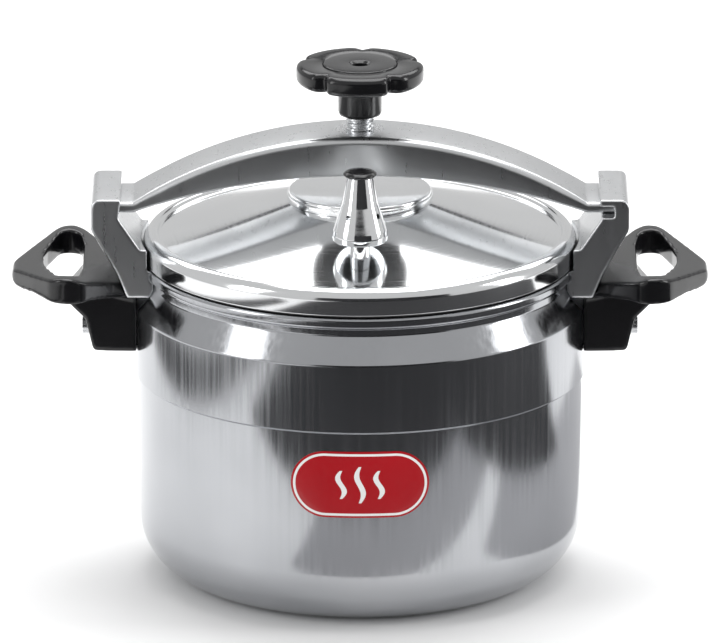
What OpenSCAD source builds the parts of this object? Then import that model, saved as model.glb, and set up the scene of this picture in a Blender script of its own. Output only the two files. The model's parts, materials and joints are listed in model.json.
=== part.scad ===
// Clamp-bow pressure cooker: a drawn aluminium pot with two hook lugs, a lid hung from a
// central screw, and an arched bow whose ends swing in under the hooks.
// Origin: centre of the flat base. +Z up, +X through the right handle, -Y towards the front.

/* [Pot] */
// Outside diameter of the body above the belt
body_d = 264.4; // [225:0.4:320]
// Radius lost at the belt step
belt_step = 1.9; // [0.5:0.1:3]
// Radius lost between the belt and the bottom corner
body_draft = 1; // [0:0.1:2]
// Radius of the rounded bottom corner
corner_r = 36; // [20:1:44]
// Height of the belt step
belt_z = 121.5; // [90:0.5:130]
// Height of the shoulder edge
shoulder_z = 163; // [150:1:210]
// Height of the sloping shoulder
shoulder_h = 16; // [13:0.5:20]
// Inward run of the sloping shoulder
shoulder_in = 7.7; // [6:0.1:10]
// Height of the straight neck
neck_h = 4; // [3:0.5:8]
// Height of the rolled rim
rim_h = 7; // [5:0.5:9]
// How far the rolled rim stands out from the neck
rim_proud = 2; // [1:0.1:3]
// Wall thickness
wall = 3; // [2:0.1:4]
// Thickness of the flat base
base_t = 5; // [3:0.5:8]

/* [Lid] */
// Gap between the pot rim and the lid bead
lid_gap = 1.5; // [1:0.1:3]
// How far the lid bead stands out past the pot rim
lid_proud = 0.5; // [0:0.1:1]
// Height of the beaded lid rim
lid_rim_h = 15.5; // [13:0.5:19]
// Width of the beaded lid rim
lid_rim_w = 9.4; // [8.6:0.1:12]
// Depth of the step from the bead down to the cone
lid_step = 2.4; // [1:0.1:4]
// Rise of the lid cone
cone_h = 21; // [14:0.5:26]
// Sheet thickness of the lid
lid_t = 3; // [2:0.1:4]
// Depth of the inner skirt below the bead
skirt_h = 4.5; // [3:0.5:8]
// Thickness of the inner skirt
skirt_t = 2.6; // [2:0.1:4]
// Height of the gasket groove
groove_h = 4.5; // [3:0.5:6]
// Width of the gasket
gasket_w = 5.2; // [4:0.1:5.6]
// Diameter of the pressure plate in the middle of the lid
plate_d = 85.2; // [70:0.2:100]
// Thickness of the pressure plate
plate_t = 6; // [5.6:0.1:8]
// Circle of the screws that hold the pressure plate
plate_screw_r = 30; // [24:1:33]

/* [Bow] */
// Width of the bow
bow_w = 44; // [36:1:53]
// Height of the bow in the middle
bow_h = 23.2; // [18:0.1:28]
// Rise of the bow's underside above the hook floor
bow_rise = 22.1; // [20:0.1:27]
// Thickness of the flat bow ends
tip_t = 6; // [5:0.1:8]
// Length of each flat bow end
tip_l = 18.4; // [14:0.1:22]
// Outside diameter of the threaded bush
bush_d = 28; // [24:0.5:32]

/* [Clamp screw and knob] */
// Outside diameter of the thread
screw_d = 16.5; // [14:0.1:19.8]
// Thread pitch
pitch = 3; // [2:0.5:4]
// Travel of the clamp between tight and loose
travel = 9; // [6:0.5:9]
// Bare screw between the bow and the knob hub
screw_show = 8.2; // [6:0.1:20]
// Diameter of the spigot that turns in the foot
spigot_d = 10; // [8:0.1:12]
// Diameter of the foot's neck
foot_d = 15.8; // [15:0.1:18.9]
// Diameter of the foot's flange
flange_d = 26.4; // [24:0.1:32]
// Outside diameter of the knob
knob_d = 74.6; // [62:0.2:90]
// Thickness of the knob disc
knob_t = 11; // [9:0.5:14]
// Number of lobes on the knob
lobes = 5; // [4:1:8]
// Diameter of the knob hub
hub_d = 25.6; // [22:0.2:31]
// Height of the knob hub
hub_h = 20; // [16:0.5:24]
// Diameter of the knob shank
shank_d = 12; // [10:0.5:14]
// Diameter of the knob cap
cap_d = 43; // [34:0.5:52]
// Diameter of the hole in the middle of the knob cap
cap_hole_d = 9.2; // [9:0.1:12]

/* [Hook lugs] */
// Depth of each lug from front to back
lug_depth = 64; // [61:1:78]
// Thickness of the hook plate
hook_t = 4.2; // [3.5:0.1:6]
// Height of the hook plate's underside above the pot rim
hook_rise = 39.2; // [38:0.1:46]
// Thickness of the wall outside the bow ends
lug_wall = 5.4; // [4:0.1:8]
// Thickness of the tongue behind the handle
tongue_t = 2.5; // [2:0.1:3]
// Width of the tongue
tongue_w = 38; // [34:1:40]
// Diameter of the lug rivets
rivet_d = 5; // [4:0.1:6]
// Spacing of the two rivets in a tongue
rivet_gap = 24; // [20:1:25]

/* [Handles] */
// How far each handle reaches from the pot wall
reach = 71.8; // [68:0.2:90]
// Half width of the handle loop
loop_half = 57; // [48:1:68]
// Width of the grip at the tip
grip_w = 18.5; // [15:0.5:22]
// Width of each handle arm
arm_w = 10.5; // [8:0.5:13]
// Width of the mounting block
block_w = 44; // [41:1:50]
// Height of the mounting block's foot below the shoulder edge
block_drop = 25; // [22:1:30]
// How far the mounting block stands out of the pot wall
block_out = 28.5; // [24:0.5:34]
// How far the gusset under the loop reaches past the mounting block
gusset_out = 10; // [6:0.5:12]
// Drop of the handle bolt below the shoulder edge
bolt_drop = 15; // [12:0.5:16]
// Diameter of the handle bolt
bolt_d = 6; // [5:0.1:7.2]
// Diameter of the bolt head
bolt_head_d = 10; // [9:0.5:12]

/* [Pressure weight and safety valve] */
// Distance of the vent and the safety valve from the lid centre
vent_r = 79; // [74:0.5:88]
// Diameter of the vent pipe
vent_d = 9; // [8:0.1:10.8]
// Bore of the vent pipe
vent_bore = 3.2; // [2.5:0.1:4]
// Diameter of the weight at its foot
weight_d = 32.8; // [28:0.2:39.4]
// Height of the weight without its cap
weight_h = 38.6; // [35:0.2:46]
// Diameter of the weight under its cap
weight_top_d = 14.4; // [13:0.1:17]
// Diameter of the weight's cap
weight_cap_d = 20; // [17:0.2:24]
// Height of the weight's cap
weight_cap_h = 4; // [3.4:0.1:7]
// Diameter of the steam ports
port_d = 3; // [1.5:0.1:3.6]
// Diameter of the safety valve body
valve_d = 17; // [15:0.5:19]
// Height of the safety valve above the lid
valve_h = 13; // [11:0.5:15]
// Diameter of the safety plunger stem
stem_d = 4; // [3:0.1:5]

/* [Badge] */
// Width of the badge around the pot
badge_w = 80; // [60:1:96]
// Height of the badge
badge_h = 40; // [30:1:44]
// Height of the badge's middle above the base
badge_z = 91; // [70:1:92]
// Thickness of the badge
badge_t = 0.7; // [0.4:0.1:1]

/* [Hidden] */
$fn = 96;

// Clearances
fit = 0.05;
gap = 0.3;
near = 0.02;
eps = 0.01;
side_use = 0.98;
big = 500;

// Pot
body_r = body_d / 2;
low_r = body_r - belt_step;
foot_r = low_r - body_draft;
neck_r = body_r - shoulder_in;
neck_z = shoulder_z + shoulder_h;
rim_z = neck_z + neck_h;
rim_top = rim_z + rim_h;
rim_r = neck_r + rim_proud;
mouth_r = neck_r - wall;
belt_band = 1.6;
shoulder_round = 4;
rim_round = 2.4;

// Lid
lid_r = rim_r + lid_proud;
lid_z = rim_top + lid_gap;
lid_top = lid_z + lid_rim_h;
cone_r = lid_r - lid_rim_w;
cone_z = lid_top - lid_step;
deck_z = cone_z + cone_h;
plate_r = plate_d / 2;
plate_top = deck_z + plate_t;
groove_mid = (mouth_r + rim_r) / 2 - 1;
groove_w = gasket_w + 0.3;
skirt_r = groove_mid - groove_w / 2;
function cone_at(r) = deck_z - (r - plate_r) * cone_h / (cone_r - plate_r);
under_in = plate_r - 1;
under_in_z = deck_z - lid_t;
under_out = skirt_r - skirt_t;
under_out_z = cone_z - lid_t - 1;
plate_screw_d = 4;
plate_screw_head_d = 8;

// Bow
tip_top = rim_top + hook_rise - gap;
tip_z = tip_top - tip_t;
hook_z = tip_top + gap;
slot_z = tip_z - gap;
bow_end = body_r + 18.8;
arch_x = bow_end - tip_l;
under_z = tip_z + bow_rise;
crown_z = under_z + bow_h;
function arc_r(x, drop) = (x * x + drop * drop) / (2 * drop);
under_arc = arc_r(arch_x, bow_rise);
crown_arc = arc_r(arch_x, crown_z - tip_top);
bow_steps = 24;

// Screw, foot and knob
flange_t = 3;
recess_h = flange_t + 2 * gap;
flange_z = deck_z + gap;
foot_top = under_z - travel - 1;
screw_z = foot_top + gap;
spigot_z = flange_z + 1.9;
ring_z = flange_z + flange_t + 0.7;
ring_t = 1.2;
groove_d = 1.6;
hub_z = crown_z + screw_show;
knob_z = hub_z + hub_h;
knob_top = knob_z + knob_t;
thread_depth = 1.2;
shank_top = knob_z + 4;
fixing_head_d = cap_hole_d - 1;
fixing_d = 5;
fixing_head_h = 2.6;
knob_cap_t = 3;
notch_r = 6;
notch_turn = -3;

// Lugs
lug_out = bow_end + 0.6 + lug_wall;
lug_half = lug_depth / 2;
lug_stop = bow_w / 2 + 0.5;
slot_r = bow_end + 0.6;
lid_clear = lid_r + 1.2;
lug_space = 0.6;
hook_top = hook_z + hook_t;
hook_in = bow_end - 11.5;
heel_z = rim_z - 9;
tongue_low = shoulder_z - block_drop + 4;
tongue_r = body_r + near + tongue_t;
rivet_head_d = 1.8 * rivet_d;
shoulder_clear = 2.4;
rivet_z = shoulder_z - shoulder_clear - rivet_head_d / 2;
rivet_head_h = 1.8;

// Handles
tip_x = body_r + reach;
block_z = shoulder_z - block_drop;
loop_z = shoulder_z + 14.5;
loop_top = shoulder_z + 31;
tip_low = shoulder_z + 11.5;
tip_high = shoulder_z + 21.5;
wide_x = tip_x - 33;
hole_in = body_r + block_out + 1.5;
bolt_z = shoulder_z - bolt_drop;
bolt_hole = bolt_d + 0.4;
inner_reach = body_r - wall - 4;
bolt_head_h = 4.2;
nut_d = bolt_d + 5.6;
nut_h = 5;
washer_d = bolt_d + 8;
washer_t = 1.2;

// Pressure weight
vent_z = cone_at(vent_r);
vent_flange_d = vent_d + 3;
waist = 3.4;
weight_clear = 3.2;
waist_at = 0.58;
weight_z = cone_at(vent_r - weight_d / 2) + weight_clear;
weight_top_z = weight_z + weight_h;
vent_top = weight_z + weight_h * 0.55;
seal_t = 1;
slope_room = 4;
stem_end = 2;
vent_nut_d = vent_d + 6;
vent_nut_h = 4;
stem_z = vent_z - lid_t - slope_room - seal_t - vent_nut_h - stem_end;
weight_bore = vent_d + 3;
port_at = 0.43;
port_z = weight_z + weight_h * port_at;
port_turn = -33;
needle_d = 5;
needle_seat = vent_top - 2;

// Safety valve
valve_z = vent_z + 1.6;
valve_top = valve_z + valve_h;
valve_neck_d = valve_d - 7;
valve_nut_d = valve_d - 1;
valve_nut_h = 4;
plunger_head_d = valve_neck_d - 2.6;
spring_wire = 1;
spring_turns = 4;
plunger_z = vent_z - lid_t + gap;
plunger_head_t = 2.6;
spring_low = plunger_z + plunger_head_t + near;
valve_cap_t = 3;
spring_high = valve_top - near;
valve_bore_d = plunger_head_d + 0.8;

badge_corner = 19.5;
badge_lift = 0.05;

// A closed outline whose corners are rounded: each point is [x, y, radius]. Two roundings that
// share a side shrink together only when that side is too short to hold both.
function unit(v) = v / norm(v);
function flat(p) = [p[0], p[1]];
function half_angle(a, b, c) =
    acos(max(-1, min(1, unit(flat(a) - flat(b)) * unit(flat(c) - flat(b))))) / 2;
function tangent(a, b, c) =
    let(half = half_angle(a, b, c)) b[2] <= 0 || half > 89 ? 0 : b[2] / tan(half);
function corner(a, b, c, n) =
    let(p = flat(b), r = b[2], half = half_angle(a, b, c))
    r <= 0 || half > 89 ? [p] :
    let(u = unit(flat(a) - p), v = unit(flat(c) - p))
    let(centre = p + unit(u + v) * r / sin(half))
    let(from = p + u * r / tan(half), to = p + v * r / tan(half))
    let(a0 = atan2(from[1] - centre[1], from[0] - centre[0]))
    let(raw = atan2(to[1] - centre[1], to[0] - centre[0]) - a0)
    let(turn = raw > 180 ? raw - 360 : raw < -180 ? raw + 360 : raw)
    [for (i = [0:n]) centre + r * [cos(a0 + turn * i / n), sin(a0 + turn * i / n)]];
function rounded(pts, n = 8) =
    let(m = len(pts))
    let(taken = [for (i = [0:m - 1]) tangent(pts[(i + m - 1) % m], pts[i], pts[(i + 1) % m])])
    let(room = [for (i = [0:m - 1])
        let(side = side_use * norm(flat(pts[(i + 1) % m]) - flat(pts[i])))
        let(need = taken[i] + taken[(i + 1) % m])
        need > side ? side / need : 1])
    [for (i = [0:m - 1])
        let(share = min(room[(i + m - 1) % m], room[i]))
        each corner(pts[(i + m - 1) % m], [pts[i][0], pts[i][1], pts[i][2] * share],
            pts[(i + 1) % m], n)];
function mirrored(pts) = concat(pts, [for (i = [len(pts) - 1:-1:0]) [pts[i][0], -pts[i][1], pts[i][2]]]);

// A flat XZ outline given its depth along Y, from y0 to y1.
module slab(y0, y1) {
    translate([0, y1, 0]) rotate([90, 0, 0]) linear_extrude(y1 - y0) children();
}

// A round bar along +X from x0 to x1.
module bar_x(x0, x1, d) {
    translate([x0, 0, 0]) rotate([0, 90, 0]) cylinder(h = x1 - x0, d = d);
}

// Both sides of the pot: as drawn on the right, and turned half round on the left.
module both_sides() {
    children();
    rotate([0, 0, 180]) children();
}

module ring(z0, z1, r0, r1) {
    translate([0, 0, z0]) difference() {
        cylinder(h = z1 - z0, r = r1);
        translate([0, 0, -1]) cylinder(h = z1 - z0 + 2, r = r0);
    }
}

// Outside of the pot, with its surfaces moved out by grow.
function pot_outside(grow) = [
    [0, -grow, 0],
    [foot_r + grow, -grow, corner_r + grow],
    [low_r + grow, belt_z - grow, 0],
    [body_r + grow, belt_z + belt_band - grow, 0],
    [body_r + grow, shoulder_z, shoulder_round],
    [neck_r + grow, neck_z, 3],
    [neck_r + grow, rim_z - grow, 0.7],
    [rim_r + grow, rim_z - grow + 0.8, rim_round],
    [rim_r + grow, rim_top + grow, rim_round],
    [0, rim_top + grow, 0]];

module pot_inside() {
    polygon(rounded([
        [0, base_t, 0],
        [foot_r - wall, base_t, corner_r - wall],
        [low_r - wall, belt_z, 0],
        [body_r - wall, belt_z + belt_band, 0],
        [body_r - wall, shoulder_z - 1, shoulder_round],
        [mouth_r, neck_z, 3],
        [mouth_r, rim_top + 1, 0],
        [0, rim_top + 1, 0]]));
}

module bolt_path(d) {
    translate([0, 0, bolt_z]) bar_x(inner_reach, tip_x, d);
}

// Runs children once along each rivet of the right lug, +X pointing out of the pot.
module at_rivets() {
    for (side = [-1, 1])
        translate([0, 0, rivet_z])
            rotate([0, 0, side * asin(rivet_gap / 2 / body_r)]) children();
}

module pot_shell() {
    color("silver") difference() {
        rotate_extrude($fn = 180) difference() {
            polygon(rounded(pot_outside(0), 10));
            pot_inside();
        }
        both_sides() {
            bolt_path(bolt_hole);
            at_rivets() bar_x(inner_reach, body_r + 4, rivet_d);
        }
    }
}

module badge() {
    color("firebrick") intersection() {
        rotate_extrude($fn = 180) difference() {
            polygon(rounded(pot_outside(badge_lift + badge_t), 10));
            polygon(rounded(pot_outside(badge_lift), 10));
        }
        slab(-big, 0) translate([-badge_w / 2, badge_z - badge_h / 2])
            polygon(rounded([
                [0, 0, badge_corner], [badge_w, 0, badge_corner],
                [badge_w, badge_h, badge_corner], [0, badge_h, badge_corner]], 12));
    }
}

// Outline of a lug seen from the front.
lug_outline = [
    [hook_in, hook_top, 1],
    [lug_out, hook_top, 5],
    [lug_out, hook_z - 14, 8],
    [body_r + 9.8, rim_top - 1.5, 10],
    [body_r + 3.8, heel_z, 1],
    [neck_r - 4, heel_z, 0],
    [neck_r - 4, rim_top + 13, 0],
    [lid_clear, rim_top + 13, 2],
    [hook_in + 1.5, slot_z - 0.4, 3]];

// Room that a handle leaves for the slanting outside of its lug.
module lug_clearance() {
    polygon([
        [0, heel_z - lug_space],
        [body_r + 4 + lug_space, heel_z - lug_space],
        [body_r + 9.8 + lug_space, rim_top - 1.5 - lug_space],
        [lug_out + lug_space, hook_z - 14],
        [lug_out + lug_space, big],
        [0, big]]);
}

module tongue() {
    intersection() {
        rotate_extrude($fn = 180)
            translate([body_r + near, tongue_low]) square([tongue_t, heel_z + 2 - tongue_low]);
        translate([body_r / 2, -tongue_w / 2, 0]) cube([body_r, tongue_w, big]);
    }
}

module lug() {
    difference() {
        union() {
            slab(-lug_half, lug_half) polygon(rounded(lug_outline));
            tongue();
        }
        rotate_extrude($fn = 180) polygon(rounded(pot_outside(near), 10));
        translate([0, 0, rim_top]) cylinder(h = lid_top + travel - rim_top + 4, r = lid_clear);
        difference() {
            translate([0, 0, slot_z]) cylinder(h = hook_z - slot_z, r = slot_r);
            translate([0, lug_stop, 0]) cube([big, big, big]);
        }
        bolt_path(bolt_hole);
        at_rivets() bar_x(body_r - 4, body_r + 8, rivet_d);
    }
}

module lug_right() {
    color("gainsboro") lug();
}

module lug_left() {
    color("gainsboro") rotate([0, 0, 180]) lug();
}

module lug_rivets() {
    color("darkgray") both_sides() at_rivets() {
        bar_x(body_r - wall - rivet_head_h, tongue_r + rivet_head_h, rivet_d);
        bar_x(body_r - wall - rivet_head_h, body_r - wall - 0.1, rivet_head_d);
        bar_x(tongue_r + 0.1, tongue_r + rivet_head_h, rivet_head_d);
    }
}

// Half outline of the handle loop from above: the outside, then the finger hole.
loop_outside = mirrored([
    [body_r - 12, block_w / 2 - 2, 0],
    [body_r + 6, block_w / 2 + 3, 10],
    [wide_x - 8, loop_half, 12],
    [wide_x + 7, loop_half, 14],
    [tip_x - 13, loop_half * 0.58, 20],
    [tip_x, 8, 12]]);
loop_hole = mirrored([
    [hole_in, 24, 12],
    [wide_x - 6, loop_half - arm_w, 7],
    [wide_x + 5, loop_half - arm_w, 6],
    [tip_x - grip_w - 2, loop_half * 0.34, 9],
    [tip_x - grip_w, 6, 8]]);

module loop_profile() {
    polygon(rounded([
        [body_r - 12, shoulder_z + 5, 0],
        [body_r + 6, shoulder_z + 9, 6],
        [hole_in - 4, loop_z, 10],
        [wide_x + 18, loop_z, 8],
        [tip_x, tip_low, 4],
        [tip_x, tip_high, 4],
        [wide_x + 12, loop_top - 4, 12],
        [wide_x, loop_top, 20],
        [hole_in - 6, loop_top - 6, 12],
        [body_r + 6, shoulder_z + 18, 4],
        [body_r - 12, shoulder_z + 14, 0]]));
}

module block_profile() {
    polygon(rounded([
        [body_r - 11, block_z, 0],
        [body_r + block_out - 4.5, block_z + 0.5, 3],
        [body_r + block_out, shoulder_z - 5, 2],
        [body_r + block_out + gusset_out, shoulder_z + 5, 1],
        [body_r + block_out + gusset_out - 1, shoulder_z + 8, 1],
        [hole_in - 3, loop_z + 6, 3],
        [body_r + 6, shoulder_z + 14, 4],
        [body_r - 11, shoulder_z + 12, 0]]));
}

// Loop with its finger hole, then the mounting block and the gusset under the loop.
module handle() {
    difference() {
        union() {
            difference() {
                intersection() {
                    linear_extrude(big) polygon(rounded(loop_outside, 6));
                    slab(-big, big) loop_profile();
                }
                translate([0, 0, 1]) linear_extrude(big) polygon(rounded(loop_hole, 6));
            }
            slab(-block_w / 2, block_w / 2) block_profile();
        }
        cylinder(h = big, r = body_r + near);
        slab(-lug_half - lug_space, lug_half + lug_space) lug_clearance();
        intersection() {
            translate([0, 0, tongue_low - lug_space])
                cylinder(h = heel_z + 3 - tongue_low, r = tongue_r + near);
            translate([0, -tongue_w / 2 - 0.4, 0]) cube([big, tongue_w + 0.8, big]);
        }
        at_rivets() bar_x(body_r, tongue_r + rivet_head_h + 0.6, rivet_head_d + 1);
        bolt_path(bolt_hole);
        translate([0, 0, bolt_z])
            bar_x(body_r + block_out - 2, tip_x, bolt_head_d + 1);
    }
}

module handle_right() {
    color("#202020") handle();
}

module handle_left() {
    color("#202020") rotate([0, 0, 180]) handle();
}

module handle_bolts() {
    color("silver") both_sides() translate([0, 0, bolt_z]) {
        bar_x(body_r - wall - washer_t - nut_h + 1, body_r + block_out, bolt_d);
        bar_x(body_r + block_out - 2, body_r + block_out - 2 + bolt_head_h, bolt_head_d);
    }
}

// Flat pad between the round wall and the nut inside the pot.
module handle_washers() {
    color("white") both_sides() difference() {
        intersection() {
            translate([0, 0, bolt_z]) bar_x(body_r - wall - washer_t, body_r - wall + 1, washer_d);
            cylinder(h = big, r = body_r - wall - near, $fn = 720);
        }
        bolt_path(bolt_hole);
    }
}

module handle_nuts() {
    color("gray") both_sides() translate([0, 0, bolt_z]) difference() {
        bar_x(body_r - wall - washer_t - nut_h, body_r - wall - washer_t - near, nut_d);
        bar_x(body_r - wall - washer_t - nut_h + 1, body_r - wall, bolt_d);
    }
}

function arch(arc, crown, from, to) =
    [for (i = [0:bow_steps]) let(x = from + (to - from) * i / bow_steps)
        [x, crown - arc + sqrt(arc * arc - x * x), 0]];

module bow_arm() {
    color("whitesmoke") difference() {
        intersection() {
            slab(-bow_w / 2, bow_w / 2) polygon(rounded(concat(
                [[bow_end, tip_z, 0], [bow_end, tip_top, 0]],
                arch(crown_arc, crown_z, arch_x, -arch_x),
                [[-bow_end, tip_top, 0], [-bow_end, tip_z, 0]],
                arch(under_arc, under_z, -arch_x, arch_x))));
            cylinder(h = big, r = bow_end);
        }
        cylinder(h = big, d = bush_d);
    }
}

module bow_bush() {
    color("gold") intersection() {
        ring(0, big, screw_d / 2 + fit, bush_d / 2);
        slab(-bow_w / 2, bow_w / 2) polygon(rounded(concat(
            arch(crown_arc, crown_z, arch_x, -arch_x),
            arch(under_arc, under_z, -arch_x, arch_x))));
    }
}

module screw_foot() {
    color("silver") difference() {
        union() {
            translate([0, 0, flange_z]) cylinder(h = flange_t, d = flange_d);
            translate([0, 0, flange_z]) cylinder(h = foot_top - flange_z, d = foot_d);
        }
        translate([0, 0, spigot_z - gap]) cylinder(h = big, d = spigot_d + 2 * fit);
        ring(ring_z - 0.1, ring_z + ring_t + 0.1, 1, spigot_d / 2 + groove_d / 2);
    }
}

module foot_snap_ring() {
    color("dimgray") difference() {
        ring(ring_z, ring_z + ring_t, spigot_d / 2 - groove_d / 2 + 0.1, spigot_d / 2 + groove_d / 2 - 0.1);
        translate([-1, 0, 0]) cube([2, spigot_d, big]);
    }
}

module clamp_screw() {
    color("silver") difference() {
        rotate_extrude() polygon(concat(
            [[0, spigot_z], [spigot_d / 2 - 0.4, spigot_z], [spigot_d / 2, spigot_z + 0.4]],
            [[spigot_d / 2, screw_z], [screw_d / 2 - thread_depth, screw_z]],
            [for (z = [screw_z:pitch:hub_z - pitch]) each [
                [screw_d / 2 - thread_depth, z + pitch * 0.1],
                [screw_d / 2, z + pitch * 0.4],
                [screw_d / 2, z + pitch * 0.6],
                [screw_d / 2 - thread_depth, z + pitch * 0.9]]],
            [[screw_d / 2 - thread_depth, hub_z], [shank_d / 2, hub_z]],
            [[shank_d / 2, shank_top], [0, shank_top]]));
        ring(ring_z - 0.1, ring_z + ring_t + 0.1, spigot_d / 2 - groove_d / 2, spigot_d);
        translate([0, 0, shank_top - 14]) cylinder(h = 20, d = fixing_d);
    }
}

module knob() {
    color("#181818") difference() {
        union() {
            rotate_extrude() polygon(rounded([
                [0, hub_z, 0], [hub_d / 2, hub_z, 2.5],
                [hub_d / 2, knob_z + 2, 0], [0, knob_z + 2, 0]]));
            translate([0, 0, knob_z]) linear_extrude(knob_t) difference() {
                circle(d = knob_d);
                for (i = [0:lobes - 1])
                    rotate([0, 0, notch_turn - 90 + (i + 0.5) * 360 / lobes])
                        translate([knob_d / 2 + notch_r * 0.35, 0]) circle(r = notch_r);
            }
        }
        translate([0, 0, hub_z - 1]) cylinder(h = shank_top - hub_z + 1.1, d = shank_d + 0.1);
        translate([0, 0, shank_top - 1]) cylinder(h = knob_t, d = fixing_head_d + 0.2);
        translate([0, 0, knob_top - knob_cap_t]) cylinder(h = knob_t, d = cap_d + 0.1);
    }
}

module knob_cap() {
    color("#303030") ring(knob_top - knob_cap_t, knob_top + 0.4, cap_hole_d / 2, cap_d / 2);
}

module knob_fixing_screw() {
    color("silver") translate([0, 0, shank_top]) {
        cylinder(h = fixing_head_h, d = fixing_head_d);
        translate([0, 0, -12]) cylinder(h = 12 + eps, d = fixing_d);
    }
}

// Runs children at each screw of the pressure plate.
module at_plate_screws() {
    for (i = [0:2]) rotate([0, 0, 90 + 120 * i]) translate([plate_screw_r, 0, 0]) children();
}

module lid_shell() {
    color("gainsboro") difference() {
        rotate_extrude($fn = 180) polygon(rounded([
            [0, deck_z, 0],
            [plate_r, deck_z, 3],
            [cone_r, cone_z, 1],
            [cone_r + 1.4, lid_top, 1.5],
            [lid_r, lid_top, 7],
            [lid_r, lid_z, 0.8],
            [skirt_r + groove_w, lid_z, 0],
            [skirt_r + groove_w, lid_z + groove_h, 0],
            [skirt_r, lid_z + groove_h, 0],
            [skirt_r, lid_z - skirt_h, 0.8],
            [under_out, lid_z - skirt_h, 0.8],
            [under_out, under_out_z, 3],
            [under_in, under_in_z, 3],
            [0, under_in_z, 0]]));
        translate([0, -vent_r, 0]) cylinder(h = big, d = vent_d + 0.2);
        translate([0, vent_r, 0]) cylinder(h = big, d = valve_neck_d + 0.2);
        at_plate_screws() translate([0, 0, deck_z - lid_t - 1])
            cylinder(h = lid_t + 2, d = plate_screw_d + 0.3);
    }
}

module lid_gasket() {
    color("#404040") rotate_extrude($fn = 180) polygon(rounded([
        [skirt_r + 0.15, lid_z + groove_h - near, 0.6],
        [skirt_r + 0.15, rim_top + gap, 1.2],
        [skirt_r + 0.15 + gasket_w, rim_top + gap, 1.2],
        [skirt_r + 0.15 + gasket_w, lid_z + groove_h - near, 0.6]]));
}

module pressure_plate() {
    color("silver") difference() {
        rotate_extrude($fn = 180) polygon(rounded([
            [foot_d / 2 + fit, deck_z, 0],
            [plate_r, deck_z, 0.6],
            [plate_r, plate_top, 1.6],
            [foot_d / 2 + fit, plate_top, 0]]));
        translate([0, 0, deck_z - 1]) cylinder(h = recess_h + 1, d = flange_d + 2 * gap);
        at_plate_screws() translate([0, 0, deck_z - 1]) cylinder(h = plate_t - 0.8, d = plate_screw_d);
    }
}

module plate_screws() {
    color("darkgray") at_plate_screws() {
        translate([0, 0, deck_z - lid_t - 2]) cylinder(h = 2, d = plate_screw_head_d);
        translate([0, 0, deck_z - lid_t - eps]) cylinder(h = lid_t + plate_t - 2, d = plate_screw_d);
    }
}

// Flat washer under a nut on the sloping underside of the lid, cut to the slope.
module under_lid(side, d0, d1, height) {
    difference() {
        translate([0, side * vent_r, vent_z - lid_t - slope_room - height])
            cylinder(h = height + 8, d = d1);
        translate([0, side * vent_r, 0]) cylinder(h = big, d = d0);
        rotate_extrude($fn = 180) polygon([
            [0, under_in_z - near], [under_in, under_in_z - near],
            [under_out, under_out_z - near], [under_out, big], [0, big]]);
    }
}

module vent_washer() {
    color("#303030") under_lid(-1, vent_d + 0.1, vent_nut_d, seal_t);
}

module vent_nut() {
    color("gold") translate([0, -vent_r, vent_z - lid_t - slope_room - seal_t - vent_nut_h]) difference() {
        cylinder(h = vent_nut_h - near, d = vent_nut_d);
        translate([0, 0, -1]) cylinder(h = big, d = vent_d);
    }
}

// Collar that rests on the sloping top of the lid.
module lid_collar(side, d, top) {
    difference() {
        translate([0, side * vent_r, vent_z - 6]) cylinder(h = top - vent_z + 6, d = d);
        rotate_extrude($fn = 180) polygon([
            [0, 0], [cone_r, 0], [cone_r, cone_z + 0.1], [plate_r, deck_z + 0.1], [0, deck_z + 0.1]]);
    }
}

module vent_pipe() {
    color("gold") difference() {
        union() {
            lid_collar(-1, vent_flange_d, weight_z - 0.4);
            translate([0, -vent_r, stem_z]) {
                cylinder(h = vent_top - stem_z, d = vent_d);
            }
        }
        translate([0, -vent_r, 0]) cylinder(h = big, d = vent_bore);
        translate([0, -vent_r, needle_seat]) cylinder(h = big, d1 = vent_bore, d2 = vent_bore + 90);
    }
}

module weight_needle() {
    color("silver") translate([0, -vent_r, 0]) {
        translate([0, 0, needle_seat - 0.2]) cylinder(h = 2, d1 = vent_bore - 1.4, d2 = vent_bore - 0.4);
        translate([0, 0, vent_top + gap]) cylinder(h = 3, d = weight_bore - 2 * gap);
        translate([0, 0, needle_seat + 1.8 - eps])
            cylinder(h = vent_top + gap + eps - needle_seat - 1.8 + eps, d = vent_bore - 0.4);
        translate([0, 0, vent_top + 3]) cylinder(h = weight_top_z - 3 - vent_top - 3, d = needle_d);
    }
}

module weight_body() {
    color("gainsboro") translate([0, -vent_r, 0]) difference() {
        rotate_extrude() polygon(rounded([
            [0, weight_z, 0],
            [weight_d / 2 - 1, weight_z, 1.5],
            [weight_d / 2, weight_z + 4, 3],
            [weight_d / 2 - 0.6, weight_z + 7, 4],
            [weight_top_d / 2 + waist, weight_z + weight_h * waist_at, 30],
            [weight_top_d / 2, weight_top_z, 0],
            [0, weight_top_z, 0]]));
        translate([0, 0, weight_z - 1])
            cylinder(h = vent_top + gap + 3 + gap - weight_z + 1, d = weight_bore);
        translate([0, 0, weight_z]) cylinder(h = weight_h - 3 + gap, d = needle_d + 2 * fit);
        for (i = [0:3]) rotate([0, 0, port_turn - 90 + 90 * i])
            translate([0, 0, port_z]) rotate([0, 90, 0]) cylinder(h = weight_d, d = port_d);
    }
}

module weight_top() {
    color("#202020") translate([0, -vent_r, weight_top_z]) rotate_extrude() polygon(rounded([
        [0, near, 0],
        [weight_cap_d / 2 - 1.6, near, 1],
        [weight_cap_d / 2, 1.6, 0.6],
        [weight_cap_d / 2 - 1.8, weight_cap_h - 1, 1.2],
        [0, weight_cap_h + 0.4, 0]]));
}

module valve_washer() {
    color("#303030") under_lid(1, valve_neck_d + 0.1, valve_nut_d, seal_t);
}

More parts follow.
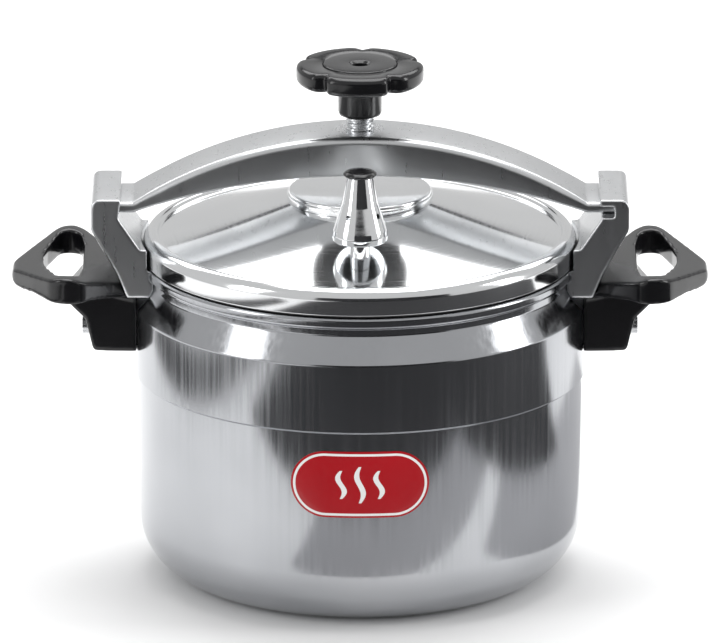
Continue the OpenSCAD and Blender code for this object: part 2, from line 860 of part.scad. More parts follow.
module valve_nut() {
    color("silver") translate([0, vent_r, vent_z - lid_t - slope_room - seal_t - valve_nut_h]) difference() {
        cylinder(h = valve_nut_h - near, d = valve_nut_d);
        translate([0, 0, -1]) cylinder(h = big, d = valve_neck_d);
    }
}

module valve_body() {
    color("silver") difference() {
        union() {
            lid_collar(1, valve_d, valve_top);
            translate([0, vent_r, vent_z - lid_t - slope_room - seal_t - valve_nut_h - stem_end])
                cylinder(h = lid_t + slope_room + seal_t + valve_nut_h + 4, d = valve_neck_d);
        }
        translate([0, vent_r, vent_z - lid_t]) cylinder(h = big, d = valve_bore_d);
        translate([0, vent_r, 0]) cylinder(h = big, d = stem_d + 2 * fit);
    }
}

// Cap that closes the valve body over its spring, with the guide hole of the plunger.
module valve_cap() {
    color("silver") translate([0, vent_r, valve_top + near]) difference() {
        cylinder(h = valve_cap_t, d = valve_d);
        translate([0, 0, -1]) cylinder(h = valve_cap_t + 2, d = stem_d + 2 * fit);
    }
}

module valve_plunger() {
    color("gold") translate([0, vent_r, 0]) {
        translate([0, 0, vent_z - lid_t - slope_room])
            cylinder(h = valve_top + valve_cap_t + 2 - vent_z + lid_t + slope_room, d = stem_d);
        translate([0, 0, plunger_z]) cylinder(h = plunger_head_t, d = plunger_head_d);
    }
}

// A coil spring swept along its helix, with flat ends.
module valve_spring() {
    coil_r = plunger_head_d / 2 - spring_wire / 2;
    steps = spring_turns * 14;
    sides = 8;
    rise = (spring_high - spring_low - spring_wire) / steps;
    points = [for (i = [0:steps], k = [0:sides - 1])
        let(turn = i * 360 * spring_turns / steps, around = k * 360 / sides)
        let(r = coil_r + spring_wire / 2 * cos(around))
        [r * cos(turn), r * sin(turn), spring_wire / 2 * (1 + sin(around)) + i * rise]];
    walls = [for (i = [0:steps - 1], k = [0:sides - 1])
        let(a = i * sides + k, b = i * sides + (k + 1) % sides)
        [a, b, b + sides, a + sides]];
    ends = [[for (k = [sides - 1:-1:0]) k], [for (k = [0:sides - 1]) steps * sides + k]];
    color("dimgray") translate([0, vent_r, spring_low]) polyhedron(points, concat(walls, ends));
}

pot_shell();
badge();
lug_left();
lug_right();
lug_rivets();
handle_left();
handle_right();
handle_bolts();
handle_nuts();
handle_washers();
bow_arm();
bow_bush();
screw_foot();
foot_snap_ring();
clamp_screw();
knob();
knob_cap();
knob_fixing_screw();
lid_shell();
lid_gasket();
pressure_plate();
plate_screws();
vent_pipe();
vent_nut();
vent_washer();
weight_needle();
weight_body();
weight_top();
valve_body();
valve_nut();
valve_washer();
valve_cap();
valve_spring();
valve_plunger();
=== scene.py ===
"""Clamp-bow pressure cooker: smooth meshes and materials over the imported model."""
import json
import math

import bmesh
import bpy
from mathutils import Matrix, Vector


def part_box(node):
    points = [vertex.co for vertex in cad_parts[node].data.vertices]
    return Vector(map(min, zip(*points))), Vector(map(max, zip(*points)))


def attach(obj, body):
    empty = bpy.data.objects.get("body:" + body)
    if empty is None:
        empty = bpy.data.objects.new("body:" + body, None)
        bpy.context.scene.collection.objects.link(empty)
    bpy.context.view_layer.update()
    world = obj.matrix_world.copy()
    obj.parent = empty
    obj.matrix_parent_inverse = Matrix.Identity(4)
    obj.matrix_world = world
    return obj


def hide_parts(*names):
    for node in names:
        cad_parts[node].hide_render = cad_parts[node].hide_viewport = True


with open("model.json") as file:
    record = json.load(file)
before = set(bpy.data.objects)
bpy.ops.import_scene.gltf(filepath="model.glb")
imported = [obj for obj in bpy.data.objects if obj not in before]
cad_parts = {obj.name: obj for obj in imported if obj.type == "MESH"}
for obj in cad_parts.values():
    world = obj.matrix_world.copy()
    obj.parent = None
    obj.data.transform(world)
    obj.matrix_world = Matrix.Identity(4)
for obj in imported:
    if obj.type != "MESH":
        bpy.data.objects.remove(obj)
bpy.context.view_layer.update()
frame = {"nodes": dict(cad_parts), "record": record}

MM = 0.001

# Heights and radii of the turned pieces, in millimetres, as in the model.
BODY_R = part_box("pot_shell")[1].x / MM
LOW_R = BODY_R - 1.9
FOOT_R = LOW_R - 1.0
NECK_R = BODY_R - 7.7
WALL = 3.0
BASE_T = 5.0
BELT_Z = 121.5
BELT_BAND = 1.6
CORNER_R = 36.0
SHOULDER_Z = 163.0
NECK_Z = SHOULDER_Z + 16
RIM_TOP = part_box("pot_shell")[1].z / MM
RIM_Z = RIM_TOP - 7
RIM_R = NECK_R + 2
MOUTH_R = NECK_R - WALL

LID_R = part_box("lid_shell")[1].x / MM
LID_Z = RIM_TOP + 1.5
LID_TOP = LID_Z + 15.5
CONE_R = LID_R - 9.4
CONE_Z = LID_TOP - 2.4
DECK_Z = CONE_Z + 21
LID_T = 3.0
SKIRT_R = (MOUTH_R + RIM_R) / 2 - 1 - 2.75
GROOVE_W = 5.5
PLATE_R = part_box("pressure_plate")[1].x / MM
PLATE_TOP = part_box("pressure_plate")[1].z / MM
FOOT_BORE_R = 7.95

BOW_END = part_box("bow_arm")[1].x / MM
BOW_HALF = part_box("bow_arm")[1].y / MM
TIP_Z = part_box("bow_arm")[0].z / MM
TIP_TOP = TIP_Z + 6
ARCH_X = BOW_END - 18.4
UNDER_Z = TIP_Z + 22.1
CROWN_Z = UNDER_Z + 23.2
BUSH_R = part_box("bow_bush")[1].x / MM

HUB_Z = CROWN_Z + 8.2
HUB_R = 12.8
KNOB_Z = HUB_Z + 20
KNOB_TOP = KNOB_Z + 11
KNOB_R = 37.3
CAP_R = 21.5
CAP_HOLE_R = 4.6
LOBES = 5
NOTCH_TURN = -3
SCREW_R = 8.25
THREAD_DEPTH = 1.2
PITCH = 3.0

VENT_Y = (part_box("weight_body")[0].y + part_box("weight_body")[1].y) / 2 / MM
WEIGHT_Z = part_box("weight_body")[0].z / MM
WEIGHT_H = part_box("weight_body")[1].z / MM - WEIGHT_Z
WEIGHT_R = 16.4
WEIGHT_TOP_R = 7.2
WEIGHT_CAP_R = 10.0
WEIGHT_CAP_H = 4.0
PORT_R = 1.5
PORT_AT = 0.43
PORT_TURN = -33
WAIST_R = WEIGHT_TOP_R + 3.4
WAIST_Z = WEIGHT_Z + WEIGHT_H * 0.58
VENT_BORE_R = 6.0
NEEDLE_BORE_R = 2.55
BORE_TOP = WEIGHT_Z + 26

BADGE_W = 80.0
BADGE_H = 40.0
BADGE_Z = 91.0


# ---------------------------------------------------------------- outlines and meshes

def rounded(points, steps=8):
    """A closed outline of (x, y, radius) points, with its corners as arcs."""
    out = []
    count = len(points)
    for i in range(count):
        b = Vector(points[i][:2])
        a = Vector(points[i - 1][:2])
        c = Vector(points[(i + 1) % count][:2])
        radius = points[i][2] if len(points[i]) > 2 else 0
        u = (a - b).normalized()
        v = (c - b).normalized()
        half = math.acos(max(-1.0, min(1.0, u.dot(v)))) / 2
        if radius <= 0 or half > math.radians(89):
            out.append(tuple(b))
            continue
        centre = b + (u + v).normalized() * radius / math.sin(half)
        start = b + u * radius / math.tan(half) - centre
        end = b + v * radius / math.tan(half) - centre
        first = math.atan2(start.y, start.x)
        turn = math.atan2(end.y, end.x) - first
        turn = (turn + math.pi) % (2 * math.pi) - math.pi
        for k in range(steps + 1):
            angle = first + turn * k / steps
            out.append((centre.x + radius * math.cos(angle), centre.y + radius * math.sin(angle)))
    return out


def finish_mesh(name, bm, sharp=35):
    """A smooth-shaded object from a bmesh in millimetres, with its hard edges kept."""
    bmesh.ops.remove_doubles(bm, verts=bm.verts, dist=0.001)
    bmesh.ops.recalc_face_normals(bm, faces=bm.faces)
    mesh = bpy.data.meshes.new(name)
    bm.to_mesh(mesh)
    bm.free()
    for v in mesh.vertices:
        v.co *= MM
    for p in mesh.polygons:
        p.use_smooth = True
    mesh.set_sharp_from_angle(angle=math.radians(sharp))
    obj = bpy.data.objects.new(name, mesh)
    bpy.context.collection.objects.link(obj)
    return obj


def lathe(name, outline, centre=(0, 0), segments=256, sharp=35):
    """A closed (radius, height) outline turned about the vertical through centre."""
    bm = bmesh.new()
    rings = []
    for r, z in outline:
        if r < 1e-6:
            rings.append([bm.verts.new((centre[0], centre[1], z))])
            continue
        rings.append([bm.verts.new((centre[0] + r * math.cos(t), centre[1] + r * math.sin(t), z))
                      for t in (2 * math.pi * k / segments for k in range(segments))])
    for i, low in enumerate(rings):
        high = rings[(i + 1) % len(rings)]
        if len(low) == 1 and len(high) == 1:
            continue
        for k in range(segments):
            n = (k + 1) % segments
            if len(low) == 1:
                bm.faces.new((low[0], high[n], high[k]))
            elif len(high) == 1:
                bm.faces.new((low[k], low[n], high[0]))
            else:
                bm.faces.new((low[k], low[n], high[n], high[k]))
    return finish_mesh(name, bm, sharp)


def bake(obj):
    """Applies the modifiers of obj."""
    graph = bpy.context.evaluated_depsgraph_get()
    mesh = bpy.data.meshes.new_from_object(obj.evaluated_get(graph))
    obj.modifiers.clear()
    obj.data = mesh
    return obj


def cut(obj, *tools):
    """Cuts the tools out of obj, and removes them."""
    for tool in tools:
        step = obj.modifiers.new("cut", "BOOLEAN")
        step.object = tool
        step.operation = "DIFFERENCE"
        step.solver = "EXACT"
    bake(obj)
    for tool in tools:
        bpy.data.objects.remove(tool)
    obj.data.set_sharp_from_angle(angle=math.radians(35))
    return obj


def moulded(name, node, voxel, smooth):
    """The node's own shape with its edges softened, as a casting or a moulding has them."""
    obj = bpy.data.objects.new(name, frame["nodes"][node].data.copy())
    bpy.context.collection.objects.link(obj)
    obj.data.materials.clear()
    remesh = obj.modifiers.new("remesh", "REMESH")
    remesh.mode = "VOXEL"
    remesh.voxel_size = voxel * MM
    soften = obj.modifiers.new("soften", "SMOOTH")
    soften.factor = 0.5
    soften.iterations = smooth
    bake(obj)
    for p in obj.data.polygons:
        p.use_smooth = True
    return obj


# ---------------------------------------------------------------- materials

def nodes_of(name):
    mat = bpy.data.materials.new(name)
    mat.use_nodes = True
    return mat, mat.node_tree.nodes, mat.node_tree.links


def grain(nodes, links, stretch, scale, detail=4.0):
    """Noise over the piece's own coordinates, stretched along an axis to make streaks."""
    where = nodes.new("ShaderNodeTexCoord")
    mapping = nodes.new("ShaderNodeMapping")
    mapping.inputs["Scale"].default_value = stretch
    noise = nodes.new("ShaderNodeTexNoise")
    noise.inputs["Scale"].default_value = scale
    noise.inputs["Detail"].default_value = detail
    links.new(where.outputs["Object"], mapping.inputs["Vector"])
    links.new(mapping.outputs["Vector"], noise.inputs["Vector"])
    return noise.outputs["Fac"]


def turned_grain(nodes, links, scale, centre=(0, 0)):
    """Noise that changes only with the distance from the axis, as a lathe leaves it."""
    where = nodes.new("ShaderNodeTexCoord")
    shift = nodes.new("ShaderNodeVectorMath")
    shift.operation = "SUBTRACT"
    shift.inputs[1].default_value = (centre[0] * MM, centre[1] * MM, 0)
    flat = nodes.new("ShaderNodeVectorMath")
    flat.operation = "MULTIPLY"
    flat.inputs[1].default_value = (1, 1, 0)
    size = nodes.new("ShaderNodeVectorMath")
    size.operation = "LENGTH"
    noise = nodes.new("ShaderNodeTexNoise")
    noise.noise_dimensions = "1D"
    noise.inputs["Scale"].default_value = scale
    noise.inputs["Detail"].default_value = 5.0
    links.new(where.outputs["Object"], shift.inputs[0])
    links.new(shift.outputs[0], flat.inputs[0])
    links.new(flat.outputs[0], size.inputs[0])
    links.new(size.outputs["Value"], noise.inputs["W"])
    return noise.outputs["Fac"]


def spread(nodes, links, source, low, high):
    """Source from 0.3 to 0.7 mapped onto low to high."""
    step = nodes.new("ShaderNodeMapRange")
    step.inputs["From Min"].default_value = 0.3
    step.inputs["From Max"].default_value = 0.7
    step.inputs["To Min"].default_value = low
    step.inputs["To Max"].default_value = high
    links.new(source, step.inputs["Value"])
    return step.outputs["Result"]


def tint(nodes, links, source, dark, light):
    ramp = nodes.new("ShaderNodeValToRGB")
    ramp.color_ramp.elements[0].position = 0.3
    ramp.color_ramp.elements[1].position = 0.7
    ramp.color_ramp.elements[0].color = (*dark, 1)
    ramp.color_ramp.elements[1].color = (*light, 1)
    links.new(source, ramp.inputs["Fac"])
    return ramp.outputs["Color"]


def surface(name, dark, light, rough, metallic, bump=0.0, bump_mm=0.05, coat=0.0,
            stretch=(1, 1, 1), scale=300.0, turned=None):
    mat, nodes, links = nodes_of(name)
    shader = nodes["Principled BSDF"]
    shader.inputs["Metallic"].default_value = metallic
    shader.inputs["Coat Weight"].default_value = coat
    if turned is None:
        fine = grain(nodes, links, stretch, scale)
    else:
        fine = turned_grain(nodes, links, scale, turned)
    broad = grain(nodes, links, (1, 1, 1), 14.0, 2.0)
    links.new(tint(nodes, links, broad, dark, light), shader.inputs["Base Color"])
    links.new(spread(nodes, links, fine, *rough), shader.inputs["Roughness"])
    if bump:
        relief = nodes.new("ShaderNodeBump")
        relief.inputs["Strength"].default_value = bump
        relief.inputs["Distance"].default_value = bump_mm * MM
        links.new(fine, relief.inputs["Height"])
        links.new(relief.outputs["Normal"], shader.inputs["Normal"])
    return mat


# Dark and light colour, roughness range, metallic, then how the grain runs.
FINISHES = {
    "pot_aluminium": ((0.44, 0.45, 0.47), (0.50, 0.51, 0.53), (0.10, 0.20), 1.0,
                      {"bump": 0.10, "stretch": (1, 1, 0.012), "scale": 420.0}),
    "lid_aluminium": ((0.82, 0.83, 0.84), (0.88, 0.89, 0.90), (0.07, 0.14), 1.0,
                      {"bump": 0.05, "scale": 900.0, "turned": (0, 0)}),
    "cast_aluminium": ((0.62, 0.63, 0.64), (0.70, 0.71, 0.72), (0.27, 0.31), 1.0,
                       {"bump": 0.04, "stretch": (1, 1, 0.10), "scale": 320.0}),
    "bakelite": ((0.005, 0.005, 0.006), (0.010, 0.010, 0.011), (0.13, 0.21), 0.0,
                 {"bump": 0.06, "scale": 700.0}),
    "weight_chrome": ((0.83, 0.84, 0.85), (0.88, 0.89, 0.90), (0.05, 0.10), 1.0,
                      {"bump": 0.04, "scale": 900.0, "turned": (0, VENT_Y)}),
    "screw_steel": ((0.60, 0.61, 0.63), (0.74, 0.75, 0.76), (0.20, 0.34), 1.0,
                    {"bump": 0.15, "scale": 600.0}),
    "rivet_aluminium": ((0.68, 0.69, 0.70), (0.78, 0.79, 0.80), (0.28, 0.42), 1.0,
                        {"bump": 0.15, "scale": 600.0}),
    "brass": ((0.66, 0.46, 0.20), (0.80, 0.60, 0.30), (0.20, 0.34), 1.0,
              {"bump": 0.10, "scale": 600.0}),
    "seal_rubber": ((0.020, 0.020, 0.020), (0.040, 0.040, 0.040), (0.60, 0.78), 0.0,
                    {"bump": 0.30, "scale": 900.0}),
    "washer_fibre": ((0.70, 0.67, 0.60), (0.82, 0.79, 0.72), (0.65, 0.85), 0.0,
                     {"bump": 0.40, "scale": 900.0}),
    "badge_red": ((0.36, 0.003, 0.008), (0.44, 0.006, 0.012), (0.14, 0.24), 0.0,
                  {"bump": 0.05, "scale": 500.0, "coat": 0.2}),
}
MATERIALS = {name: surface(name, *look[:-1], **look[-1]) for name, look in FINISHES.items()}
BADGE_WHITE = surface("badge_white", (0.80, 0.80, 0.79), (0.90, 0.90, 0.89), (0.16, 0.28), 0.0,
                      bump=0.05, scale=500.0, coat=0.5)


def dress(obj, body, slot, *nodes, paint=None):
    """Gives a new piece its body, its finish and the model nodes that it stands for."""
    obj.data.materials.clear()
    obj.data.materials.append(paint or MATERIALS[slot])
    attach(obj, body)
    if nodes:
        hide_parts(*nodes)
    return obj


# ---------------------------------------------------------------- pot and lid

def make_pot():
    outline = rounded([
        (0, 0), (FOOT_R, 0, CORNER_R), (LOW_R, BELT_Z), (BODY_R, BELT_Z + BELT_BAND),
        (BODY_R, SHOULDER_Z, 4), (NECK_R, NECK_Z, 3), (NECK_R, RIM_Z, 0.7),
        (RIM_R, RIM_Z + 0.8, 2.3), (RIM_R, RIM_TOP, 2.3), (MOUTH_R, RIM_TOP, 1.2),
        (MOUTH_R, NECK_Z, 3), (BODY_R - WALL, SHOULDER_Z - 1, 4),
        (BODY_R - WALL, BELT_Z + BELT_BAND), (LOW_R - WALL, BELT_Z),
        (FOOT_R - WALL, BASE_T, CORNER_R - WALL), (0, BASE_T)], 16)
    dress(lathe("pot_body", outline, segments=360), "pot", "pot_aluminium", "pot_shell")


def make_lid():
    outline = rounded([
        (0, DECK_Z), (PLATE_R, DECK_Z, 3), (CONE_R, CONE_Z, 1), (CONE_R + 1.4, LID_TOP, 1.5),
        (LID_R, LID_TOP, 7), (LID_R, LID_Z, 0.8), (SKIRT_R + GROOVE_W, LID_Z),
        (SKIRT_R + GROOVE_W, LID_Z + 4.5), (SKIRT_R, LID_Z + 4.5), (SKIRT_R, LID_Z - 4.5, 0.8),
        (SKIRT_R - 2.6, LID_Z - 4.5, 0.8), (SKIRT_R - 2.6, CONE_Z - LID_T - 1, 3),
        (PLATE_R - 1, DECK_Z - LID_T, 3), (0, DECK_Z - LID_T)], 12)
    dress(lathe("lid_body", outline, segments=360), "lid", "lid_aluminium", "lid_shell")


def make_plate():
    floor_z = DECK_Z + 3.6
    outline = rounded([
        (FOOT_BORE_R, floor_z), (13.5, floor_z), (13.5, DECK_Z + 0.02),
        (PLATE_R, DECK_Z + 0.02, 0.6),
        (PLATE_R, PLATE_TOP - 2.2, 0.5), (PLATE_R - 0.9, PLATE_TOP - 1.8, 0.5),
        (PLATE_R - 0.9, PLATE_TOP, 1.2), (FOOT_BORE_R, PLATE_TOP)], 8)
    dress(lathe("plate_body", outline, segments=256), "lid", "lid_aluminium", "pressure_plate")


# ---------------------------------------------------------------- bow

def arc_height(x, drop, crown):
    """Height at x of an arc that falls by drop from its crown to the foot of the arch."""
    radius = (ARCH_X ** 2 + drop ** 2) / (2 * drop)
    return crown - radius + math.sqrt(radius ** 2 - x ** 2)


def bow_span(x):
    """Underside and top of the bow at x."""
    if abs(x) >= ARCH_X:
        return TIP_Z, TIP_TOP
    return (arc_height(x, UNDER_Z - TIP_Z, UNDER_Z), arc_height(x, CROWN_Z - TIP_TOP, CROWN_Z))


def make_bow():
    bm = bmesh.new()
    stations = []
    count = 220
    for i in range(count + 1):
        x = -math.cos(math.pi * i / count) * (BOW_END - 0.05)
        low, high = bow_span(x)
        half = min(BOW_HALF, math.sqrt(max(BOW_END ** 2 - x ** 2, 1.0)))
        top = min(4.5, (high - low) * 0.45)
        foot = min(1.6, (high - low) * 0.25)
        section = rounded([(-half, low, foot), (half, low, foot), (half, high, top),
                           (-half, high, top)], 6)
        stations.append([bm.verts.new((x, y, z)) for y, z in section])
    for a, b in zip(stations, stations[1:]):
        for k in range(len(a)):
            n = (k + 1) % len(a)
            bm.faces.new((a[k], a[n], b[n], b[k]))
    bm.faces.new(stations[0])
    bm.faces.new(stations[-1])
    bow = finish_mesh("bow_body", bm, 40)
    hole_r = BUSH_R + 0.02
    drill = lathe("drill", [(0, 200), (hole_r, 200), (hole_r, 300), (0, 300)], segments=96)
    cut(bow, drill)
    dress(bow, "bow", "cast_aluminium", "bow_arm")


# ---------------------------------------------------------------- screw and knob

def make_screw():
    """Shank with a true helical thread between the foot and the knob."""
    bm = bmesh.new()
    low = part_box("screw_foot")[1].z / MM + 0.3
    segments = 64
    steps = int((HUB_Z - low) / 0.25)
    rings = []
    for i in range(steps + 1):
        z = low + (HUB_Z - low) * i / steps
        ring = []
        for k in range(segments):
            t = 2 * math.pi * k / segments
            phase = ((z - low) / PITCH - k / segments) % 1.0
            crest = max(0.0, min(1.0, 2.2 - abs(phase - 0.5) * 6.0))
            r = SCREW_R - THREAD_DEPTH * (1 - crest)
            ring.append(bm.verts.new((r * math.cos(t), r * math.sin(t), z)))
        rings.append(ring)
    for a, b in zip(rings, rings[1:]):
        for k in range(segments):
            n = (k + 1) % segments
            bm.faces.new((a[k], a[n], b[n], b[k]))
    bm.faces.new(rings[0])
    bm.faces.new(rings[-1])
    dress(finish_mesh("screw_body", bm, 50), "screw", "screw_steel", "clamp_screw")


def lobe_radius(angle):
    """Edge of the knob: wide lobes with narrow soft notches between them."""
    step = 2 * math.pi / LOBES
    first = math.radians(NOTCH_TURN - 90) + step / 2
    off = (angle - first + step / 2) % step - step / 2
    return KNOB_R - 4.6 * math.exp(-(off / 0.105) ** 2)


def make_knob():
    bm = bmesh.new()
    segments = 400
    edge = 3.4
    rows = [(HUB_R - 2.4, HUB_Z, 0.0), (HUB_R - 0.8, HUB_Z + 0.6, 0.0),
            (HUB_R, HUB_Z + 2.4, 0.0), (HUB_R, KNOB_Z - 1.2, 0.0),
            (HUB_R + 0.4, KNOB_Z - 0.3, 0.0), (HUB_R + 1.4, KNOB_Z, 0.0)]
    for k in range(7):
        t = math.pi / 2 * k / 6
        rows.append((-edge * (1 - math.sin(t)), KNOB_Z + edge * (1 - math.cos(t)), 1.0))
    for k in range(9):
        t = math.pi / 2 * k / 8
        rows.append((-edge * (1 - math.cos(t)), KNOB_TOP - edge * (1 - math.sin(t)), 1.0))
    rows += [(CAP_R + 1.6, KNOB_TOP, 0.0), (CAP_R + 0.5, KNOB_TOP - 0.5, 0.0),
             (CAP_R + 0.4, KNOB_TOP - 2.9, 0.0), (5.2, KNOB_TOP - 2.9, 0.0)]
    rings = []
    for r, z, lobed in rows:
        ring = []
        for k in range(segments):
            t = 2 * math.pi * k / segments
            radius = lobe_radius(t) + r if lobed else r
            ring.append(bm.verts.new((radius * math.cos(t), radius * math.sin(t), z)))
        rings.append(ring)
    for a, b in zip(rings, rings[1:]):
        for k in range(segments):
            n = (k + 1) % segments
            bm.faces.new((a[k], a[n], b[n], b[k]))
    bm.faces.new(rings[0])
    bm.faces.new(rings[-1])
    dress(finish_mesh("knob_body", bm, 50), "screw", "bakelite", "knob")
    low = KNOB_TOP - 2.8
    cap = rounded([(CAP_HOLE_R, low), (CAP_R, low, 0.3), (CAP_R, KNOB_TOP + 0.3, 0.9),
                   (CAP_HOLE_R + 1.8, KNOB_TOP + 0.1, 1.2), (CAP_HOLE_R, KNOB_TOP - 1.2, 0.4)], 6)
    dress(lathe("knob_disc", cap, segments=200), "screw", "bakelite", "knob_cap")


# ---------------------------------------------------------------- pressure weight

def make_weight():
    top_z = WEIGHT_Z + WEIGHT_H
    outline = rounded([
        (VENT_BORE_R, WEIGHT_Z), (WEIGHT_R - 1, WEIGHT_Z, 1.5), (WEIGHT_R, WEIGHT_Z + 4, 3),
        (WEIGHT_R - 0.6, WEIGHT_Z + 7, 4), (WAIST_R, WAIST_Z, 14), (WEIGHT_TOP_R, top_z),
        (NEEDLE_BORE_R, top_z), (NEEDLE_BORE_R, BORE_TOP), (VENT_BORE_R, BORE_TOP)], 14)
    weight = lathe("weight_shell", outline, (0, VENT_Y), 128)
    drills = []
    for i in range(4):
        angle = math.radians(PORT_TURN - 90 + 90 * i)
        bm = bmesh.new()
        bmesh.ops.create_cone(bm, cap_ends=True, segments=32, radius1=PORT_R, radius2=PORT_R,
                              depth=16)
        drill = finish_mesh("drill", bm)
        drill.rotation_euler = (0, math.pi / 2, angle)
        drill.location = (Vector((math.cos(angle) * 14, VENT_Y + math.sin(angle) * 14,
                                  WEIGHT_Z + WEIGHT_H * PORT_AT)) * MM)
        drills.append(drill)
    bpy.context.view_layer.update()
    cut(weight, *drills)
    dress(weight, "weight", "weight_chrome", "weight_body")
    cap_top = top_z + WEIGHT_CAP_H
    cap = rounded([(0, top_z), (WEIGHT_CAP_R - 1.6, top_z, 1), (WEIGHT_CAP_R, top_z + 1.6, 0.6),
                   (WEIGHT_CAP_R - 1.8, cap_top - 1, 1.2), (0, cap_top + 0.4)], 10)
    dress(lathe("weight_cap", cap, (0, VENT_Y), 96), "weight", "bakelite", "weight_top")


# ---------------------------------------------------------------- badge

def on_pot(x, z, lift):
    """Point of the pot's wall at x across the front and height z, raised by lift."""
    r = FOOT_R + (LOW_R - FOOT_R) * z / BELT_Z + lift
    return (x, -math.sqrt(r ** 2 - x ** 2), z)


def stadium(width, height, count=160):
    """Evenly spaced outline of a flat oval with a straight top and bottom, centred on zero."""
    r = height / 2
    flat = width - height
    arc = math.pi * r
    pts = []
    for k in range(count):
        d = (2 * flat + 2 * arc) * k / count
        if d < flat:
            pts.append((flat / 2 - d, r))
        elif d < flat + arc:
            t = math.pi / 2 + (d - flat) / r
            pts.append((-flat / 2 + r * math.cos(t), r * math.sin(t)))
        elif d < 2 * flat + arc:
            pts.append((-flat / 2 + d - flat - arc, -r))
        else:
            t = -math.pi / 2 + (d - 2 * flat - arc) / r
            pts.append((flat / 2 + r * math.cos(t), r * math.sin(t)))
    return pts


def badge_patch(name, outline, lift, thick, paint, nodes=(), inner=None):
    """A plate bent to the pot: filled, or a band where inner is given."""
    bm = bmesh.new()
    count = len(outline)
    rows = 12 if inner is None else 2
    grid = {}
    for side, out in ((0, lift), (1, lift + thick)):
        for j in range(rows + 1):
            f = j / rows
            for k in range(count):
                ox, oz = outline[k]
                ix, iz = (0.0, 0.0) if inner is None else inner[k]
                x = ox + (ix - ox) * f
                z = oz + (iz - oz) * f
                soft = -0.25 * thick if side and (j == 0 or (inner and j == rows)) else 0
                grid[side, j, k] = bm.verts.new(on_pot(x, BADGE_Z + z, out + soft))
    for side in (0, 1):
        for j in range(rows):
            for k in range(count):
                n = (k + 1) % count
                bm.faces.new((grid[side, j, k], grid[side, j, n], grid[side, j + 1, n],
                              grid[side, j + 1, k]))
    for j in ((0,) if inner is None else (0, rows)):
        for k in range(count):
            n = (k + 1) % count
            bm.faces.new((grid[0, j, k], grid[0, j, n], grid[1, j, n], grid[1, j, k]))
    if inner is None:
        bmesh.ops.dissolve_degenerate(bm, dist=0.0005, edges=bm.edges)
    return dress(finish_mesh(name, bm, 40), "pot", "badge_red", *nodes, paint=paint)


def wave(offset, length, width, count=40):
    """Outer and inner sides of one steam wave, as a closed outline."""
    left, right = [], []
    for i in range(count + 1):
        f = i / count
        x = offset + 1.9 * math.sin(2 * math.pi * f)
        z = length * (f - 0.5)
        half = width / 2 * math.sin(math.pi * min(1, max(0, 0.06 + 0.88 * f))) ** 0.5
        left.append((x - half, z))
        right.append((x + half, z))
    return left, right


def make_badge():
    badge_patch("badge_plate", stadium(BADGE_W, BADGE_H), 0.05, 0.6, MATERIALS["badge_red"],
                ("badge",))
    badge_patch("badge_border", stadium(BADGE_W - 2.4, BADGE_H - 2.4), 0.62, 0.12, BADGE_WHITE,
                inner=stadium(BADGE_W - 5.2, BADGE_H - 5.2))
    for n, (offset, length) in enumerate(((-11, 17), (0, 22), (11, 17))):
        left, right = wave(offset, length, 3.4)
        bm = bmesh.new()
        rails = []
        for out in (0.60, 0.76):
            rails.append([[bm.verts.new(on_pot(x, BADGE_Z + z, out)) for x, z in side]
                          for side in (left, right)])
        for side in rails:
            for i in range(len(left) - 1):
                bm.faces.new((side[0][i], side[0][i + 1], side[1][i + 1], side[1][i]))
        for s in (0, 1):
            for i in range(len(left) - 1):
                bm.faces.new((rails[0][s][i], rails[0][s][i + 1], rails[1][s][i + 1],
                              rails[1][s][i]))
        for i in (0, len(left) - 1):
            bm.faces.new((rails[0][0][i], rails[0][1][i], rails[1][1][i], rails[1][0][i]))
        dress(finish_mesh("badge_wave_%d" % (n + 1), bm, 40), "pot", "badge_red", paint=BADGE_WHITE)


# ---------------------------------------------------------------- cast, moulded and carried pieces

def make_cast_and_moulded():
    for side in ("left", "right"):
        dress(moulded("lug_" + side + "_cast", "lug_" + side, 0.7, 5), "pot", "cast_aluminium",
              "lug_" + side)
        dress(moulded("handle_" + side + "_moulded", "handle_" + side, 0.8, 18), "pot", "bakelite",
              "handle_" + side)


def dress_carried_nodes():
    """Finish and softened edges for the small nodes that keep their own shape."""
    slots = {s["node"]: s["material_slot"] for s in frame["record"]["subparts"]}
    for name, obj in frame["nodes"].items():
        if obj.hide_render:
            continue
        paint = MATERIALS[slots[name]]
        if not obj.material_slots:
            obj.data.materials.append(paint)
        for place in obj.material_slots:
            place.material = paint
        if name in ("handle_bolts", "plate_screws", "knob_fixing_screw", "valve_cap", "vent_nut"):
            soft = obj.modifiers.new("soft_edges", "BEVEL")
            soft.width = 0.35 * MM
            soft.segments = 3
            soft.limit_method = "ANGLE"
            soft.angle_limit = math.radians(50)


# ---------------------------------------------------------------- studio

DARK = (0.02, 0.02, 0.022)
GREY = (0.42, 0.42, 0.43)
FLAT = (0, 0, 0)
UPRIGHT = (math.pi / 2, 0, 0)
# Cards that only the polished metal sees, as a photographer's black flags; the grey card in front
# is painted shade.
FLOOR_CARDS = (
    ("front_floor_flag", (2.9, 2.6), (1.03, -1.63, 0.003), DARK),
    ("right_floor_flag", (2.1, 0.43), (1.38, -0.115, 0.003), DARK),
    ("left_floor_flag", (0.14, 1.0), (-0.57, -0.22, 0.003), DARK),
    # Painted shade: a grey card for the pot's shadow on the floor in front, seen only in
    # reflections.
    ("painted_floor_shade_card", (0.96, 0.165), (0.38, -0.2825, 0.002), GREY),
    ("side_floor_card", (0.22, 0.50), (0.28, 0.10, 0.002), GREY),
)
FLAGS = (
    ("front_flag", (3.4, 1.1), (0.75, -2.3, 0.55)),
    ("rear_flag", (3.0, 0.5), (0.0, 2.4, 1.45)),
)
AIM = Vector((0, 0, 0.150))
TILT = math.radians(17)
CAMERA_FAR = 7.0
LENS_MM = 596.2


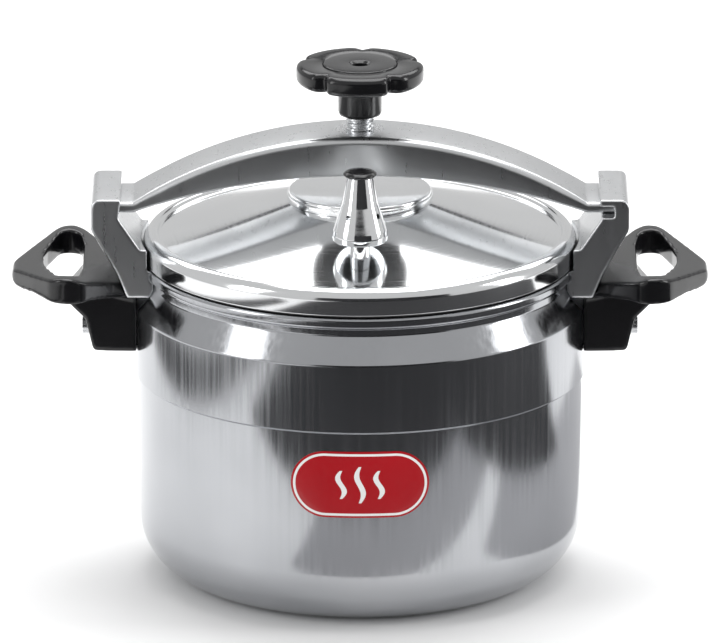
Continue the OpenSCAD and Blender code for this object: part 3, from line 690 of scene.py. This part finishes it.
def staged_plane(name, size, place, turn, colour, camera_sees=True):
    bm = bmesh.new()
    bmesh.ops.create_grid(bm, x_segments=1, y_segments=1, size=0.5)
    mesh = bpy.data.meshes.new(name)
    bm.to_mesh(mesh)
    bm.free()
    obj = bpy.data.objects.new(name, mesh)
    obj.scale = (size[0], size[1], 1)
    obj.location = place
    obj.rotation_euler = turn
    mat, nodes, links = nodes_of(name)
    nodes["Principled BSDF"].inputs["Base Color"].default_value = (*colour, 1)
    nodes["Principled BSDF"].inputs["Roughness"].default_value = 0.9
    mesh.materials.append(mat)
    bpy.context.collection.objects.link(obj)
    obj.visible_camera = camera_sees
    obj.visible_shadow = camera_sees
    obj.visible_diffuse = camera_sees


def area_light(name, place, aim, size, power):
    data = bpy.data.lights.new(name, "AREA")
    data.shape = "RECTANGLE"
    data.size = size[0]
    data.size_y = size[1]
    data.energy = power
    obj = bpy.data.objects.new(name, data)
    obj.location = place
    obj.rotation_euler = (Vector(aim) - Vector(place)).to_track_quat("-Z", "Y").to_euler()
    bpy.context.collection.objects.link(obj)


def make_studio():
    world = bpy.data.worlds.new("studio")
    bpy.context.scene.world = world
    world.use_nodes = True
    back = world.node_tree.nodes["Background"]
    back.inputs["Color"].default_value = (1.0, 1.0, 1.0, 1)
    back.inputs["Strength"].default_value = 0.62
    staged_plane("floor", (9, 9), (0, 1.0, 0), FLAT, (0.92, 0.92, 0.92))
    for name, size, place, colour in FLOOR_CARDS:
        staged_plane(name, size, place, FLAT, colour, False)
    for name, size, place in FLAGS:
        staged_plane(name, size, place, UPRIGHT, DARK, False)
    area_light("left_softbox", (-1.9, -1.0, 1.0), (0, 0, 0.12), (0.7, 1.5), 11)
    area_light("right_softbox", (2.1, -0.2, 0.9), (0, 0, 0.12), (0.6, 1.4), 14)
    area_light("floor_softbox", (0.0, 1.9, 1.6), (0, 1.9, 0), (3.0, 1.6), 34)
    area_light("top_softbox", (0.1, 0.4, 2.0), (0, 0, 0.2), (1.4, 1.4), 24)
    bpy.context.scene.view_settings.view_transform = "Standard"


def make_camera():
    """Long lens, 17 degrees above the horizon, straight at the front."""
    data = bpy.data.cameras.new("camera")
    data.lens = LENS_MM
    data.sensor_width = 36.0
    camera = bpy.data.objects.new("camera", data)
    camera.location = AIM + Vector((0, -math.cos(TILT), math.sin(TILT))) * CAMERA_FAR
    camera.rotation_euler = (AIM - camera.location).to_track_quat("-Z", "Y").to_euler()
    bpy.context.collection.objects.link(camera)
    bpy.context.scene.camera = camera


make_camera()
make_pot()
make_lid()
make_plate()
make_bow()
make_screw()
make_knob()
make_weight()
make_badge()
make_cast_and_moulded()
dress_carried_nodes()
make_studio()
